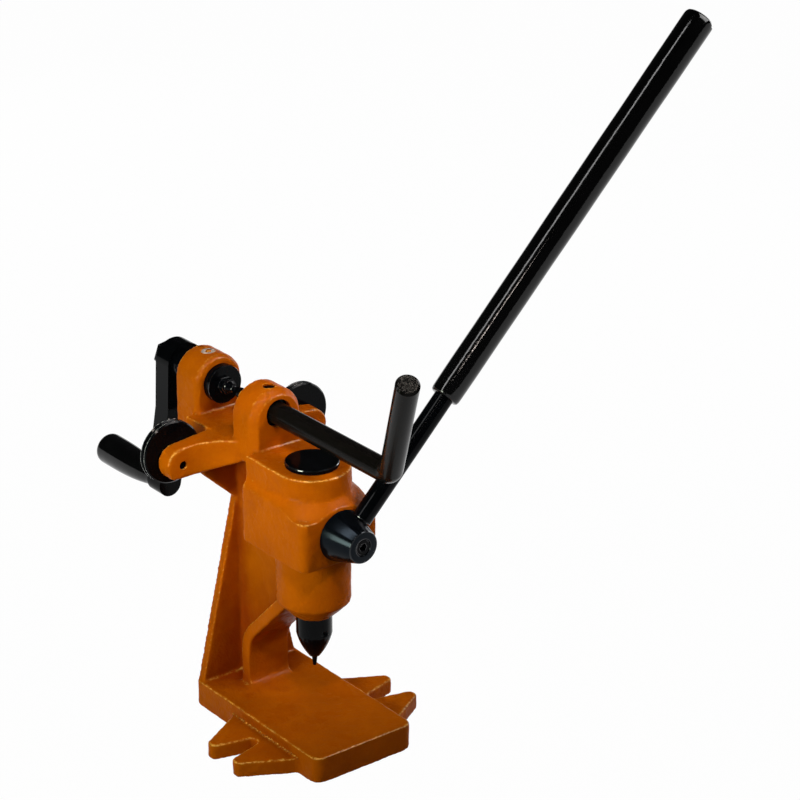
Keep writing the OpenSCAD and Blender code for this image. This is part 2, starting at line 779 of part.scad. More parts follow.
module bush_lock_screw() {
    seat_z = spindle_z + screw_bush_d / 2;
    top_z = spindle_z - front_lug_drop + front_lug_r - 1.5;
    color(blackened)
        translate([0, lock_screw_y, top_z])
            difference() {
                translate([0, 0, seat_z - top_z]) cylinder(d = lock_screw_d - 2 * seat_fit, h = top_z - seat_z);
                hex_socket(lock_screw_d / 2, (top_z - seat_z) / 2);
            }
}

// Bent bar: its screw end lies in the bush, its raised end is the handle, a hair thinner in the bend
module pressure_screw() {
    end_chamfer = 1.5;
    overlap = 0.2;
    straight_l = bar_handle_l - end_chamfer;
    color(satin) translate([0, 0, spindle_z]) rotate([0, bar_lean, 0]) {
        difference() {
            bar_along(bar_d, -bar_reach - overlap, screw_end_y, 0);
            bar_along(anvil_d + 2 * run_fit, screw_end_y - anvil_socket_l, screw_end_y + 1, 0);
        }
        translate([0, -bar_reach, bar_bend_r]) rotate([0, 90, 0]) {
            rotate([0, 0, -bar_bend]) rotate_extrude(angle = bar_bend)
                translate([bar_bend_r, 0]) circle(d = bar_d - 0.08);
            rotate([0, 0, -bar_bend]) translate([bar_bend_r, 0, 0]) rotate([90, 0, 0]) {
                translate([0, 0, -overlap]) cylinder(d = bar_d, h = straight_l + overlap);
                translate([0, 0, straight_l])
                    cylinder(d1 = bar_d, d2 = bar_d - 2 * end_chamfer, h = end_chamfer);
            }
        }
    }
}

module pressure_anvil() {
    tip_y = chain_y - anvil_gap / 2;
    color(blackened) {
        bar_along(anvil_d, screw_end_y - anvil_socket_l + face_gap, tip_y - anvil_point_l, spindle_z);
        taper_along(anvil_d, anvil_tip_d, tip_y - anvil_point_l - EPS, tip_y, spindle_z);
    }
}

module spindle() {
    front = collar_y + collar_t;
    color(satin) difference() {
        union() {
            bar_along(spindle_d, front, rear_lug_back + face_gap, spindle_z);
            bar_along(spindle_spigot_d, rear_lug_back, nut_back + spigot_stub, spindle_z);
        }
        bar_along(anvil_shank_d + 2 * seat_fit, front - 1, front + anvil_shank_l + 1, spindle_z);
        crank_frame() translate([0, cross_pin_y, 0]) cross_pin(cross_pin_d + 2 * seat_fit, crank_boss_d);
    }
}

module spindle_bushes() {
    color(bronze)
        for (y = [rear_lug_y, rear_lug_back - spindle_bush_l])
            difference() {
                bar_along(spindle_bore_d - 2 * seat_fit, y, y + spindle_bush_l, spindle_z);
                bar_along(spindle_d + 2 * run_fit, y - 1, y + spindle_bush_l + 1, spindle_z);
            }
}

// Collar, hexagon and point that spin the rivet's head, with a shank in the spindle
module rivet_anvil() {
    tip_y = chain_y + anvil_gap / 2;
    nub_y = collar_y - nub_l;
    color(blackened) {
        bar_along(collar_d, collar_y, collar_y + collar_t, spindle_z);
        bar_along(anvil_shank_d, collar_y, collar_y + collar_t + anvil_shank_l, spindle_z);
        translate([0, collar_y, spindle_z]) rotate([90, 0, 0]) cylinder(d = nub_d, h = nub_l, $fn = 6);
        taper_along(anvil_tip_d, anvil_d, tip_y, nub_y + EPS, spindle_z);
    }
}

module spindle_oiler() {
    color(bright) translate([0, oiler_y, spindle_z + rear_lug_r - oiler_l])
        difference() {
            cylinder(d = oiler_d - 2 * seat_fit, h = oiler_l);
            translate([0, 0, -1]) cylinder(d = 2.5, h = oiler_l + 2);
            translate([0, 0, oiler_l - 1]) cylinder(d = oiler_d * 0.6, h = 2);
        }
}

// The crank's own frame: -Z runs out along the crank from the spindle
module crank_frame() {
    translate([0, 0, spindle_z]) rotate([0, crank_lean, 0]) children();
}

module cross_pin(d, l) {
    translate([-l / 2, 0, 0]) rotate([0, 90, 0]) cylinder(d = d, h = l);
}

// Arm with a round hub that flares into a nearly straight shank, and a boss towards the rear lug
module crank_arm() {
    color(blackened) crank_frame() difference() {
        union() {
            along(crank_y, crank_back) {
                circle(d = crank_hub_d);
                translate([0, -crank_r]) circle(d = crank_end_d);
                polygon([
                    [crank_hub_d * 0.497, -crank_hub_d * 0.05], [crank_shank_w / 2, -crank_flare_l],
                    [crank_end_d * 0.499, -crank_r], [-crank_end_d * 0.499, -crank_r],
                    [-crank_shank_w / 2, -crank_flare_l], [-crank_hub_d * 0.497, -crank_hub_d * 0.05]
                ]);
            }
            bar_along(crank_boss_d, rear_lug_back + face_gap, crank_y + 1, 0);
        }
        bar_along(spindle_spigot_d + 2 * seat_fit, rear_lug_back, crank_back + 1, 0);
        translate([0, cross_pin_y, 0]) cross_pin(cross_pin_d + 2 * seat_fit, crank_boss_d + 2);
        bar_along(grip_pin_d + 2 * seat_fit, crank_y - 1, crank_back + 1, -crank_r);
    }
}

// Nut that holds the arm on the spindle's spigot
module crank_nut() {
    color(blackened) translate([0, nut_back, spindle_z]) rotate([90, 0, 0])
        difference() {
            rotate(nut_turn) cylinder(d = crank_nut_af / cos(30), h = crank_nut_t - seat_fit, $fn = 6);
            translate([0, 0, -1]) cylinder(d = spindle_spigot_d + 2 * seat_fit, h = crank_nut_t + 2);
        }
}

module crank_cross_pin() {
    color(bright) crank_frame() translate([0, cross_pin_y, 0]) cross_pin(cross_pin_d, crank_boss_d - 1);
}

// Pin riveted in the arm; its head lies in the grip's end
module grip_pin() {
    color(bright) crank_frame() {
        bar_along(grip_pin_d, crank_y, grip_head_y + 1, -crank_r);
        bar_along(grip_head_d, grip_head_y, grip_head_y + grip_head_l, -crank_r);
    }
}

module crank_grip() {
    neck_r = crank_grip_neck_d / 2;
    end_r = crank_grip_d / 2;
    bore_r = grip_pin_d / 2 + run_fit;
    head_r = grip_head_d / 2 + face_gap;
    end_round = 3.5;
    color("#17181b") crank_frame() translate([0, grip_y, -crank_r]) rotate([-90, 0, 0])
        rotate_extrude()
            polygon(concat(
                [[bore_r, 0], [neck_r, 0], [neck_r, 4]],
                [for (i = [1:12]) [end_r - (end_r - neck_r) * pow(1 - i / 12, 3), 4 + (crank_grip_l - 4 - end_round) * i / 12]],
                arc([end_r - end_round, crank_grip_l - end_round], end_round, 0, 90, 6),
                [[head_r, crank_grip_l], [head_r, crank_grip_l - grip_back + grip_head_y - face_gap],
                    [bore_r, crank_grip_l - grip_back + grip_head_y - face_gap]]
            ));
}

// Grooved roller behind an arm's end, on the side s, bored off its middle so that turning it lifts the chain
module guide_roller(s) {
    x = s * roller_span / 2;
    r = roller_d / 2;
    rim = (roller_w - groove_w) / 2;
    edge = 1;
    color(blackened) difference() {
        translate([x, roller_y, roller_z]) rotate([-90, 0, 0])
            rotate_extrude()
                polygon([
                    [0, 0], [r - edge, 0], [r, edge], [r, rim - edge], [r - edge, rim],
                    [r - groove_depth, rim], [r - groove_depth, roller_w - rim],
                    [r - edge, roller_w - rim], [r, roller_w - rim + edge], [r, roller_w - edge],
                    [r - edge, roller_w], [0, roller_w]
                ]);
        bar_along(axle_d + 2 * run_fit, roller_y - 1, roller_y + roller_w + 1, arm_end_z, x);
    }
}

module roller_axle(s) {
    x = s * roller_span / 2;
    head_y = roller_y + roller_w + face_gap;
    color(satin) {
        bar_along(axle_d - 2 * seat_fit, arm_y + axle_sunk, head_y + 1, arm_end_z, x);
        bar_along(axle_head_d, head_y, head_y + axle_head_t, arm_end_z, x);
    }
}

module left_roller() { guide_roller(-1); }
module right_roller() { guide_roller(1); }
module left_roller_axle() { roller_axle(-1); }
module right_roller_axle() { roller_axle(1); }

frame_casting();
ram();
punch_pin();
punch_set_screw();
ram_spring();
ram_cap();
shaft_bush();
lever_shaft();
shaft_retaining_screw();
lever_hub();
hub_screw();
lever_rod();
lever_grip();
pressure_bush();
bush_lock_screw();
pressure_screw();
pressure_anvil();
spindle();
spindle_bushes();
rivet_anvil();
spindle_oiler();
crank_arm();
crank_cross_pin();
crank_nut();
grip_pin();
crank_grip();
left_roller();
right_roller();
left_roller_axle();
right_roller_axle();
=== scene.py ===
import math

import bmesh
import bpy
from mathutils import Matrix, Vector
from mathutils.bvhtree import BVHTree


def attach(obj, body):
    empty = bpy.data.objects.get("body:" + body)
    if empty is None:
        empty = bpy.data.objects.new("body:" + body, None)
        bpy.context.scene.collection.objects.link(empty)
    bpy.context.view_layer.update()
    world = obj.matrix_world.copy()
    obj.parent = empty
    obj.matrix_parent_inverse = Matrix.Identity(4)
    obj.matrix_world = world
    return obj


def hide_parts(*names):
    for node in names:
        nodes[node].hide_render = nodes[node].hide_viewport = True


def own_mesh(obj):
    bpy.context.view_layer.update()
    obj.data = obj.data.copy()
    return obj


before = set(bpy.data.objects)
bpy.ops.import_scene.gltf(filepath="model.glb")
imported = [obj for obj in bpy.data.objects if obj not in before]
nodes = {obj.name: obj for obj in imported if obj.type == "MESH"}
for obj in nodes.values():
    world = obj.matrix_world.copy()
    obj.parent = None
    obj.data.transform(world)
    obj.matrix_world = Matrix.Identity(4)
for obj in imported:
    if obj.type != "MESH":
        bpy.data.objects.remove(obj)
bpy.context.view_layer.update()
MM = 0.001


# Camera
# A long lens, left of the tool's front and a little above its top,
# far enough off for the lever's end and the base to fill a square frame.
lens_place = (-0.98854, -1.36204, 0.97695)
lens_turn = math.radians(-38.0)
lens_drop = math.radians(23.2)
viewfinder = bpy.data.cameras.new("viewfinder")
viewfinder.sensor_fit = "HORIZONTAL"
viewfinder.sensor_width = 36.0
viewfinder.lens = 122.85
viewfinder.clip_end = 120.0
camera = bpy.data.objects.new("camera", viewfinder)
camera.location = lens_place
camera.rotation_euler = (math.radians(90.0) - lens_drop, 0.0, lens_turn)
bpy.context.scene.collection.objects.link(camera)
bpy.context.scene.camera = camera


# Frame casting
# One grey iron sand casting with forked bolt ears, an I-section column, the ram housing and two bearing lugs.
# Its edges and inner corners are rounded as cast, its bores are cut afterwards,
# and it is sprayed with thick orange enamel that beads along the root of its ears; its colour carries painted
# highlights along its upper edges and upward creases, and painted shade in its creases and hollows.
def feed(tree, made, inputs):
    """A node's inputs filled, each with a value or with the socket that feeds it."""
    for key, value in inputs.items():
        if isinstance(value, bpy.types.NodeSocket):
            tree.links.new(value, made.inputs[key])
        else:
            made.inputs[key].default_value = value


def add_node(tree, kind, inputs=None, **settings):
    """A shader node with its settings and its inputs."""
    made = tree.nodes.new(kind)
    for key, value in settings.items():
        setattr(made, key, value)
    feed(tree, made, inputs or {})
    return made


def ramp(tree, factor, stops):
    """A colour ramp over a mask, from (position, grey or colour) stops."""
    made = add_node(tree, "ShaderNodeValToRGB", {"Fac": factor})
    bar = made.color_ramp.elements
    while len(bar) < len(stops):
        bar.new(0.5)
    for stop, (position, tone) in zip(bar, stops):
        stop.position = position
        stop.color = (*tone, 1.0) if isinstance(tone, tuple) else (tone, tone, tone, 1.0)
    return made.outputs["Color"]


def noise(tree, place, scale, detail=2.0, roughness=0.5):
    """A cloudy mask over the piece."""
    settings = {"Vector": place, "Scale": scale, "Detail": detail, "Roughness": roughness}
    return add_node(tree, "ShaderNodeTexNoise", settings).outputs["Fac"]


def stretch(tree, mask, low, high, start=0.0, end=1.0):
    """A mask between start and end, turned into values from low to high."""
    settings = {"Value": mask, "From Min": start, "From Max": end, "To Min": low, "To Max": high}
    return add_node(tree, "ShaderNodeMapRange", settings).outputs["Result"]


def times(tree, first, second):
    """The product of two masks."""
    return add_node(tree, "ShaderNodeMath", {0: first, 1: second}, operation="MULTIPLY").outputs[0]


def added(tree, first, share, second):
    """A share of the first mask, added to the second."""
    return add_node(tree, "ShaderNodeMath", {0: first, 1: share, 2: second}, operation="MULTIPLY_ADD").outputs[0]


def blend(tree, mask, under, over):
    """A colour laid over another where the mask says."""
    settings = {"Factor": mask, "A": under, "B": (*over, 1.0)}
    return add_node(tree, "ShaderNodeMix", settings, data_type="RGBA").outputs["Result"]


def relief(tree, height, strength, distance):
    """The normal of a bumped surface."""
    settings = {"Strength": strength, "Distance": distance, "Height": height}
    return add_node(tree, "ShaderNodeBump", settings).outputs["Normal"]


def finish_material(name):
    """A new material with its Principled shader, its tree and the piece's own coordinates."""
    made = bpy.data.materials.new(name)
    made.use_nodes = True
    tree = made.node_tree
    skin = tree.nodes["Principled BSDF"]
    place = add_node(tree, "ShaderNodeTexCoord").outputs["Object"]
    return made, tree, skin, place


def effect_group(name, inputs, outputs):
    """An empty shader node group with a Vector input, float inputs of given defaults and float outputs."""
    tree = bpy.data.node_groups.new(name, "ShaderNodeTree")
    tree.interface.new_socket("Vector", in_out="INPUT", socket_type="NodeSocketVector")
    for key, value in inputs.items():
        tree.interface.new_socket(key, in_out="INPUT", socket_type="NodeSocketFloat").default_value = value
    for key in outputs:
        tree.interface.new_socket(key, in_out="OUTPUT", socket_type="NodeSocketFloat")
    return tree, tree.nodes.new("NodeGroupInput").outputs, tree.nodes.new("NodeGroupOutput")


def use_group(tree, group, inputs):
    """The outputs of a shader node group placed in a material."""
    return add_node(tree, "ShaderNodeGroup", inputs, node_tree=group).outputs


# Handling marks: broad smudges and fine scratches that any touched surface carries
smudges, smudge_in, smudge_out = effect_group(
    "handling_marks", {"Smudge size": 60.0, "Scratch size": 700.0}, ["Smudge", "Scratch"])
cloudy = noise(smudges, smudge_in["Vector"], smudge_in["Smudge size"], 4.0, 0.6)
drawn_out = add_node(smudges, "ShaderNodeMapping", {
    "Vector": smudge_in["Vector"], "Rotation": (0.5, 0.3, 0.8), "Scale": (1.0, 1.0, 0.06)}).outputs["Vector"]
hairlines = noise(smudges, drawn_out, smudge_in["Scratch size"])
feed(smudges, smudge_out, {
    "Smudge": ramp(smudges, cloudy, [(0.38, 0.0), (0.68, 1.0)]),
    "Scratch": ramp(smudges, hairlines, [(0.6, 0.0), (0.74, 1.0)]),
})

# Edge masks: raised edges, inner creases, all bends and upward creases, the first and last broken up by noise.
# On the enamel the raised edges carry painted highlight and wear, the inner creases painted shade, the upward creases
# painted highlight.
edge_group, edge_group_in, edge_group_out = effect_group(
    "edge_masks", {"Pointiness": 0.5, "Break up": 240.0, "Side weight": 1.0}, ["Edge", "Crease", "Bend", "Upper crease"])
uneven = ramp(edge_group, noise(edge_group, edge_group_in["Vector"], edge_group_in["Break up"], 5.0, 0.65), [(0.4, 0.05), (0.6, 1.0)])
raised = ramp(edge_group, edge_group_in["Pointiness"], [(0.516, 0.0), (0.542, 1.0)])
sunken = ramp(edge_group, edge_group_in["Pointiness"], [(0.44, 1.0), (0.495, 0.0)])
bent = ramp(edge_group, edge_group_in["Pointiness"], [(0.472, 1.0), (0.494, 0.0), (0.506, 0.0), (0.52, 1.0)])
deep_crease = ramp(edge_group, edge_group_in["Pointiness"], [(0.45, 1.0), (0.485, 0.0)])
feed(edge_group, edge_group_out, {
    "Edge": times(edge_group, times(edge_group, raised, edge_group_in["Side weight"]), uneven),
    "Crease": sunken,
    "Bend": bent,
    "Upper crease": times(edge_group, times(edge_group, deep_crease, edge_group_in["Side weight"]), uneven),
})

# Enamel over the cast skin: painted shade, dark red in the hollows and dark in the creases; pale along upper edges as
# painted highlight and wear, and pale in upward creases as painted highlight
orange_tones = [(0.3, (0.4, 0.078, 0.0006)), (0.7, (0.5, 0.108, 0.0008))]
fleck_tone = (0.6, 0.17, 0.002)
hollow_shade_tone = (0.22, 0.022, 0.002)
crease_shade_tone = (0.24, 0.035, 0.0006)
upper_crease_highlight_tone = (0.85, 0.42, 0.07)
edge_wear_and_highlight_tone = (0.88, 0.46, 0.07)
enamel, tree, skin, place = finish_material("orange_enamel_on_iron")
surface = add_node(tree, "ShaderNodeNewGeometry").outputs
lying = add_node(tree, "ShaderNodeSeparateXYZ", {"Vector": surface["Normal"]}).outputs["Z"]
# How far the surface faces up; it weights the painted highlights on upper edges and in upward creases, and the gloss of
# bends.
upper_side = stretch(tree, lying, 0.0, 1.0, 0.15, 0.6)
edges = use_group(tree, edge_group, {
    "Vector": place, "Pointiness": surface["Pointiness"], "Break up": 420.0, "Side weight": upper_side})
marks = use_group(tree, smudges, {"Vector": place, "Smudge size": 42.0, "Scratch size": 500.0})
fleck_mask = ramp(tree, noise(tree, place, 330.0, 6.0, 0.75), [(0.5, 0.0), (0.7, 0.16)])
# Painted shade: the enamel turns dark red where the recess share says the surface is hidden from many directions.
hollows = add_node(tree, "ShaderNodeAttribute", attribute_name="recess").outputs["Fac"]
hollow_shade_mask = ramp(tree, hollows, [(0.26, 0.0), (0.62, 0.75)])
paint = ramp(tree, noise(tree, place, 26.0, 5.0, 0.6), orange_tones)
paint = blend(tree, fleck_mask, paint, fleck_tone)
paint = blend(tree, hollow_shade_mask, paint, hollow_shade_tone)
# Painted shade: the enamel is darker in the inner creases.
paint = blend(tree, edges["Crease"], paint, crease_shade_tone)
# Painted highlight: pale in upward creases, broken up.
paint = blend(tree, edges["Upper crease"], paint, upper_crease_highlight_tone)
# Pale along upper edges: painted highlight and wear.
paint = blend(tree, edges["Edge"], paint, edge_wear_and_highlight_tone)
lumps = noise(tree, place, 170.0, 3.0, 0.55)
grit = noise(tree, place, 900.0, 4.0, 0.7)
peel = add_node(tree, "ShaderNodeTexVoronoi", {"Vector": place, "Scale": 620.0, "Smoothness": 1.0},
                feature="SMOOTH_F1").outputs["Distance"]
cast_height = added(tree, grit, 0.06, added(tree, lumps, 2.2, peel))
feed(tree, skin, {
    "Base Color": paint,
    "Roughness": stretch(tree, marks["Smudge"], 0.24, 0.4),
    "Normal": relief(tree, cast_height, 0.4, 0.0005),
    "Coat Weight": stretch(tree, times(tree, edges["Bend"], upper_side), 0.0, 0.25),
    "Coat Roughness": 0.08,
    "Coat IOR": 1.5,
    "Specular IOR Level": 0.012,
})


def put_together(name, shape, material, body, node_names, sharp_from=20.0):
    """A finished mesh as an object that rides on a body and stands for its CAD nodes."""
    for face in shape.faces:
        face.smooth = True
    for edge in shape.edges:
        edge.smooth = not (edge.is_manifold and edge.calc_face_angle() > math.radians(sharp_from))
    mesh = bpy.data.meshes.new(name)
    shape.to_mesh(mesh)
    shape.free()
    mesh.materials.append(material)
    piece = bpy.data.objects.new(name, mesh)
    bpy.context.scene.collection.objects.link(piece)
    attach(piece, body)
    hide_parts(*node_names)
    return piece


def node_copy(node_name):
    """A merged bmesh copy of a CAD node."""
    shape = bmesh.new()
    shape.from_mesh(nodes[node_name].data)
    bmesh.ops.remove_doubles(shape, verts=shape.verts, dist=1e-6)
    return shape


def drill(shape, start, way, radius, depth, before=0.0, after=0.0, steps=72):
    """A round bar added to a bmesh: from a point in mm, along way, longer by before and after."""
    way = Vector(way)
    middle = (Vector(start) + way * ((depth + after - before) / 2)) * MM
    turn = way.to_track_quat("Z", "Y").to_matrix().to_4x4()
    bmesh.ops.create_cone(shape, cap_ends=True, segments=steps, radius1=radius * MM, radius2=radius * MM,
                          depth=(depth + before + after) * MM, matrix=Matrix.Translation(middle) @ turn)


def applied(shape, modifiers):
    """The bmesh after modifiers, given as (kind, settings) pairs."""
    mesh = bpy.data.meshes.new("rough_shape")
    shape.to_mesh(mesh)
    shape.free()
    worked = bpy.data.objects.new("rough_shape", mesh)
    bpy.context.scene.collection.objects.link(worked)
    for kind, settings in modifiers:
        modifier = worked.modifiers.new(kind.lower(), kind)
        for key, value in settings.items():
            setattr(modifier, key, value)
    graph = bpy.context.evaluated_depsgraph_get()
    result = bmesh.new()
    result.from_mesh(worked.evaluated_get(graph).to_mesh())
    bpy.data.objects.remove(worked)
    bpy.data.meshes.remove(mesh)
    return result


def cut(shape, cutters):
    """The bmesh less a set of round bars that stay clear of one another."""
    bars = bmesh.new()
    for bar in cutters:
        drill(bars, *bar)
    mesh = bpy.data.meshes.new("drills")
    bars.to_mesh(mesh)
    bars.free()
    drills = bpy.data.objects.new("drills", mesh)
    bpy.context.scene.collection.objects.link(drills)
    result = applied(shape, [("BOOLEAN", {"operation": "DIFFERENCE", "object": drills, "solver": "MANIFOLD"})])
    bpy.data.objects.remove(drills)
    return result


def mark_hollows(shape, reach=60.0, lift=0.8, ray_count=36, passes=4):
    """The attribute recess on a bmesh: the share of short straight lines from each corner that meet the shape again."""
    shape.normal_update()
    shell = BVHTree.FromBMesh(shape)
    ways = []
    for part in range(ray_count):
        height = 1 - (2 * part + 1) / ray_count
        ring = math.sqrt(1 - height * height)
        turn = math.pi * (3 - math.sqrt(5)) * part
        ways.append(Vector((ring * math.cos(turn), ring * math.sin(turn), height)))
    met = []
    for corner in shape.verts:
        outward = [way for way in ways if way.dot(corner.normal) > 0.1]
        start = corner.co + corner.normal * (lift * MM)
        stopped = sum(shell.ray_cast(start, way, reach * MM)[0] is not None for way in outward)
        met.append(stopped / max(1, len(outward)))
    shape.verts.index_update()
    near = [[v.index, *(e.other_vert(v).index for e in v.link_edges)] for v in shape.verts]
    for _ in range(passes):
        met = [sum(met[index] for index in group) / len(group) for group in near]
    layer = shape.verts.layers.float.new("recess")
    for corner, share in zip(shape.verts, met):
        corner[layer] = share


# Axes and faces that several pieces share, in mm
lever_z, spindle_z = 168.0, 233.3
axle_x, axle_z = 55.0, 196.5
housing_front, housing_top, ram_bore_deep = -32.5, 208.5, 92.5
oiler_y = 122.25
up, down, back, left = (0, 0, 1), (0, 0, -1), (0, 1, 0), (-1, 0, 0)

# Each bore by its mouth, its way in, its radius and its depth, then how far the cutter runs past the mouth and the end
stem_bore = ((0, 0, 96), up, 12.8, 20.0, 4, 1)
ram_bore = ((0, 0, housing_top), down, 17.1, ram_bore_deep, 4, 0)
shaft_bore = ((0, housing_front, lever_z), back, 17.1, 14.7, 4, 0)
shaft_way = ((0, -18.8, lever_z), back, 15.0, 18.8, 0, 0)
bush_bore = ((0, 38, spindle_z), back, 10.1, 25.0, 10, 10)
spindle_bore = ((0, 109, spindle_z), back, 11.1, 26.5, 10, 10)
axle_holes = [((side * axle_x, 74.35, axle_z), back, 3.22, 13.0, 10, 10) for side in (-1, 1)]
lock_hole = ((0, 49, 250.0), down, 4.27, 6.4, 4, 0)
oiler_hole = ((0, oiler_y, 252.1), down, 5.02, 4.3, 4, 0)
retainer_hole = ((32, -25.15, lever_z), left, 3.02, 10.0, 4, 0)
clear_bores = [stem_bore, shaft_bore, bush_bore, spindle_bore, *axle_holes, lock_hole, oiler_hole, retainer_hole]

# The bores are filled while the skin is rounded and roughened, then cut clean
fill_over = 0.4
iron = node_copy("frame_casting")
for mouth, way, radius, depth, _, _ in [*clear_bores, ram_bore, shaft_way]:
    drill(iron, mouth, way, radius + fill_over, depth)
iron = applied(iron, [("REMESH", {"mode": "VOXEL", "voxel_size": 1.0 * MM}),
                      ("SMOOTH", {"factor": 0.5, "iterations": 6})])
inner_bend = -0.12
inner_corners = [v for v in iron.verts if sum(e.calc_face_angle_signed(0.0) for e in v.link_edges) < inner_bend]
for _ in range(3):
    bmesh.ops.smooth_vert(iron, verts=inner_corners, factor=0.5, use_axis_x=True, use_axis_y=True, use_axis_z=True)
sand_lumps = bpy.data.textures.new("sand_lumps", "CLOUDS")
sand_lumps.noise_scale = 5.5 * MM
sand_lumps.noise_depth = 2
sand_grains = bpy.data.textures.new("sand_grains", "CLOUDS")
sand_grains.noise_scale = 2.6 * MM
sand = [("DISPLACE", {"texture": texture, "texture_coords": "LOCAL", "strength": height * MM, "mid_level": 0.5})
        for texture, height in ((sand_lumps, 0.65), (sand_grains, 0.22))]
iron = applied(iron, [("SMOOTH", {"factor": 0.5, "iterations": 2}), *sand, ("DECIMATE", {"ratio": 0.64})])
for cutters in (clear_bores, [ram_bore], [shaft_way]):
    iron = cut(iron, cutters)

# A row of paint beads along the root of the left ears
bead_x, bead_start_y, bead_z, bead_pitch, bead_radius = -42.5, -36.5, 12.0, 3.3, 1.0
for part in range(24):
    bead_place = Vector((bead_x,
                         bead_start_y + bead_pitch * part + 0.7 * math.sin(5.0 * part),
                         bead_z + 0.3 * math.sin(3.0 * part)))
    bmesh.ops.create_icosphere(iron, subdivisions=2, radius=(bead_radius + 0.2 * math.sin(7.0 * part)) * MM,
                               matrix=Matrix.Translation(bead_place * MM))
# The recess share sets the painted shade in the enamel's hollows.
mark_hollows(iron)
put_together("painted_casting", iron, enamel, "frame", ["frame_casting"], sharp_from=42.0)


# Ram, rivet anvil, crank arm and crank nut
# Turned or milled steel, blackened in hot salts and oiled; the ram slides in its bore and the rest is fixed
# on the spindle. Edges are broken with a small chamfer, and the black has rubbed thin along them.
def mark_rims(shape, faces):
    """The attribute rim on a bmesh: 1 on the given faces, 0 on the rest."""
    layer = shape.loops.layers.float_color.new("rim")
    rims = set(faces)
    for face in shape.faces:
        tone = 1.0 if face in rims else 0.0
        for corner in face.loops:
            corner[layer] = (tone, tone, tone, 1.0)


def broken_edges(shape, easing, from_angle):
    """A bmesh with its hard edges broken by easing in mm, and the new faces marked as rims."""
    hard = [e for e in shape.edges if e.is_manifold and e.calc_face_angle() > math.radians(from_angle)]
    made = bmesh.ops.bevel(shape, geom=hard, offset=easing * MM, offset_type="OFFSET", segments=2, profile=0.5,
                           affect="EDGES", material=-1, clamp_overlap=True)
    mark_rims(shape, made["faces"])


def eased(node_name, easing, from_angle=28.0):
    """A CAD node's copy with its flat faces made whole and its edges broken."""
    shape = node_copy(node_name)
    bmesh.ops.dissolve_limit(shape, angle_limit=math.radians(0.8), verts=shape.verts, edges=shape.edges)
    broken_edges(shape, easing, from_angle)
    return shape


def dark_steel(name, tone, rim_tone, rough, rim_strength, shine, more=None):
    """Steel with a dark skin, smudged, finely scratched, and paler and shiny along its marked rims: wear, and painted
    highlights and reflections where the rim tone is light.
    """
    made, tree, skin, place = finish_material(name)
    rims = add_node(tree, "ShaderNodeAttribute", attribute_name="rim").outputs["Fac"]
    edges = use_group(tree, edge_group, {"Vector": place, "Pointiness": stretch(tree, rims, 0.5, 0.6), "Break up": 420.0})
    marks = use_group(tree, smudges, {"Vector": place})
    darker, lighter = (tuple(share * c for c in tone) for share in (0.85, 1.15))
    toned = ramp(tree, noise(tree, place, 95.0, 6.0, 0.65), [(0.3, darker), (0.7, lighter)])
    smudged = stretch(tree, marks["Smudge"], rough * 0.92, rough * 1.15)
    pitted = added(tree, marks["Scratch"], -0.4, noise(tree, place, 1500.0, 3.0))
    feed(tree, skin, {
        "Base Color": blend(tree, times(tree, edges["Edge"], rim_strength), toned, rim_tone),
        "Roughness": added(tree, marks["Scratch"], 0.04, smudged),
        "Normal": relief(tree, pitted, 0.03, 0.0002),
        "Coat Weight": edges["Bend"],
        "Coat Roughness": 0.12,
        "Coat IOR": 1.7,
        "Specular IOR Level": shine,
    })
    feed(tree, skin, more or {})
    return made


salt_black = (0.0014, 0.0018, 0.0026)
oiled_black = dark_steel("oiled_black_steel", salt_black, (0.03, 0.033, 0.04), rough=0.12, rim_strength=0.5, shine=0.055)
black_pieces = {"ram": ("ram", 0.5), "rivet_anvil": ("spindle", 0.35),
                "crank_arm": ("spindle", 0.9), "crank_nut": ("spindle", 0.6)}
for node_name, (body, easing) in black_pieces.items():
    put_together(node_name + "_blackened", eased(node_name, easing), oiled_black, body, [node_name])


# Ram cap
# A turned disc with a spigot, pressed into the top of the ram's bore to keep chips out,
# blackened like the ram and rounded at its rim.
def turned(profile, place, easing=0.4, steps=96, from_angle=25.0):
    """A turned shape from (radius, height) points in mm, with its corners broken, then put in its place."""
    shape = bmesh.new()
    line = [shape.verts.new((radius * MM, 0.0, height * MM)) for radius, height in profile]
    edges = [shape.edges.new(pair) for pair in zip(line, line[1:])]
    if profile[0][0] > 0:
        edges.append(shape.edges.new((line[-1], line[0])))
    bmesh.ops.spin(shape, geom=line + edges, cent=(0, 0, 0), axis=up, angle=math.tau, steps=steps, use_merge=True)
    bmesh.ops.remove_doubles(shape, verts=shape.verts, dist=1e-6)
    bmesh.ops.recalc_face_normals(shape, faces=shape.faces)
    if easing:
        broken_edges(shape, easing, from_angle)
    shape.transform(place)
    return shape


cap_line = [(0, -5), (17.04, -5), (17.04, 0), (18.75, 0), (18.75, 3.5), (0, 3.5)]
put_together("bore_cap", turned(cap_line, Matrix.Translation((0, 0, housing_top * MM)), easing=0.7), oiled_black,
             "frame", ["ram_cap"])


# Lever hub and its screw
# A turned cone, blued so that it shines cold, held on the lever shaft's end
# by a socket screw sunk in its face.
def along_y(x, y, z, sign=1):
    """The place of a turned shape whose height runs along Y, or against it."""
    return Matrix.Translation(Vector((x, y, z)) * MM) @ Matrix.Rotation(math.radians(-90.0 * sign), 4, "X")


blued_steel = dark_steel("blued_hub_steel", (0.0014, 0.002, 0.0032), (0.012, 0.014, 0.018),
                         rough=0.17, rim_strength=0.1, shine=0.11,
                         more={"Specular Tint": (0.62, 0.8, 1.0, 1.0), "Coat IOR": 1.3})
hub_gap = 0.4
hub_line = [(3.57, 13), (8.03, 13), (8.03, 0), (18.7, 0), (11.5, 24.5), (5.9, 24.5), (5.9, 16), (3.57, 16)]
put_together("hub_screw_blackened", eased("hub_screw", 0.25), oiled_black, "lever", ["hub_screw"])
put_together("turned_hub", turned(hub_line, along_y(0, housing_front - hub_gap, lever_z, -1), easing=0.7),
             blued_steel, "lever", ["lever_hub"])
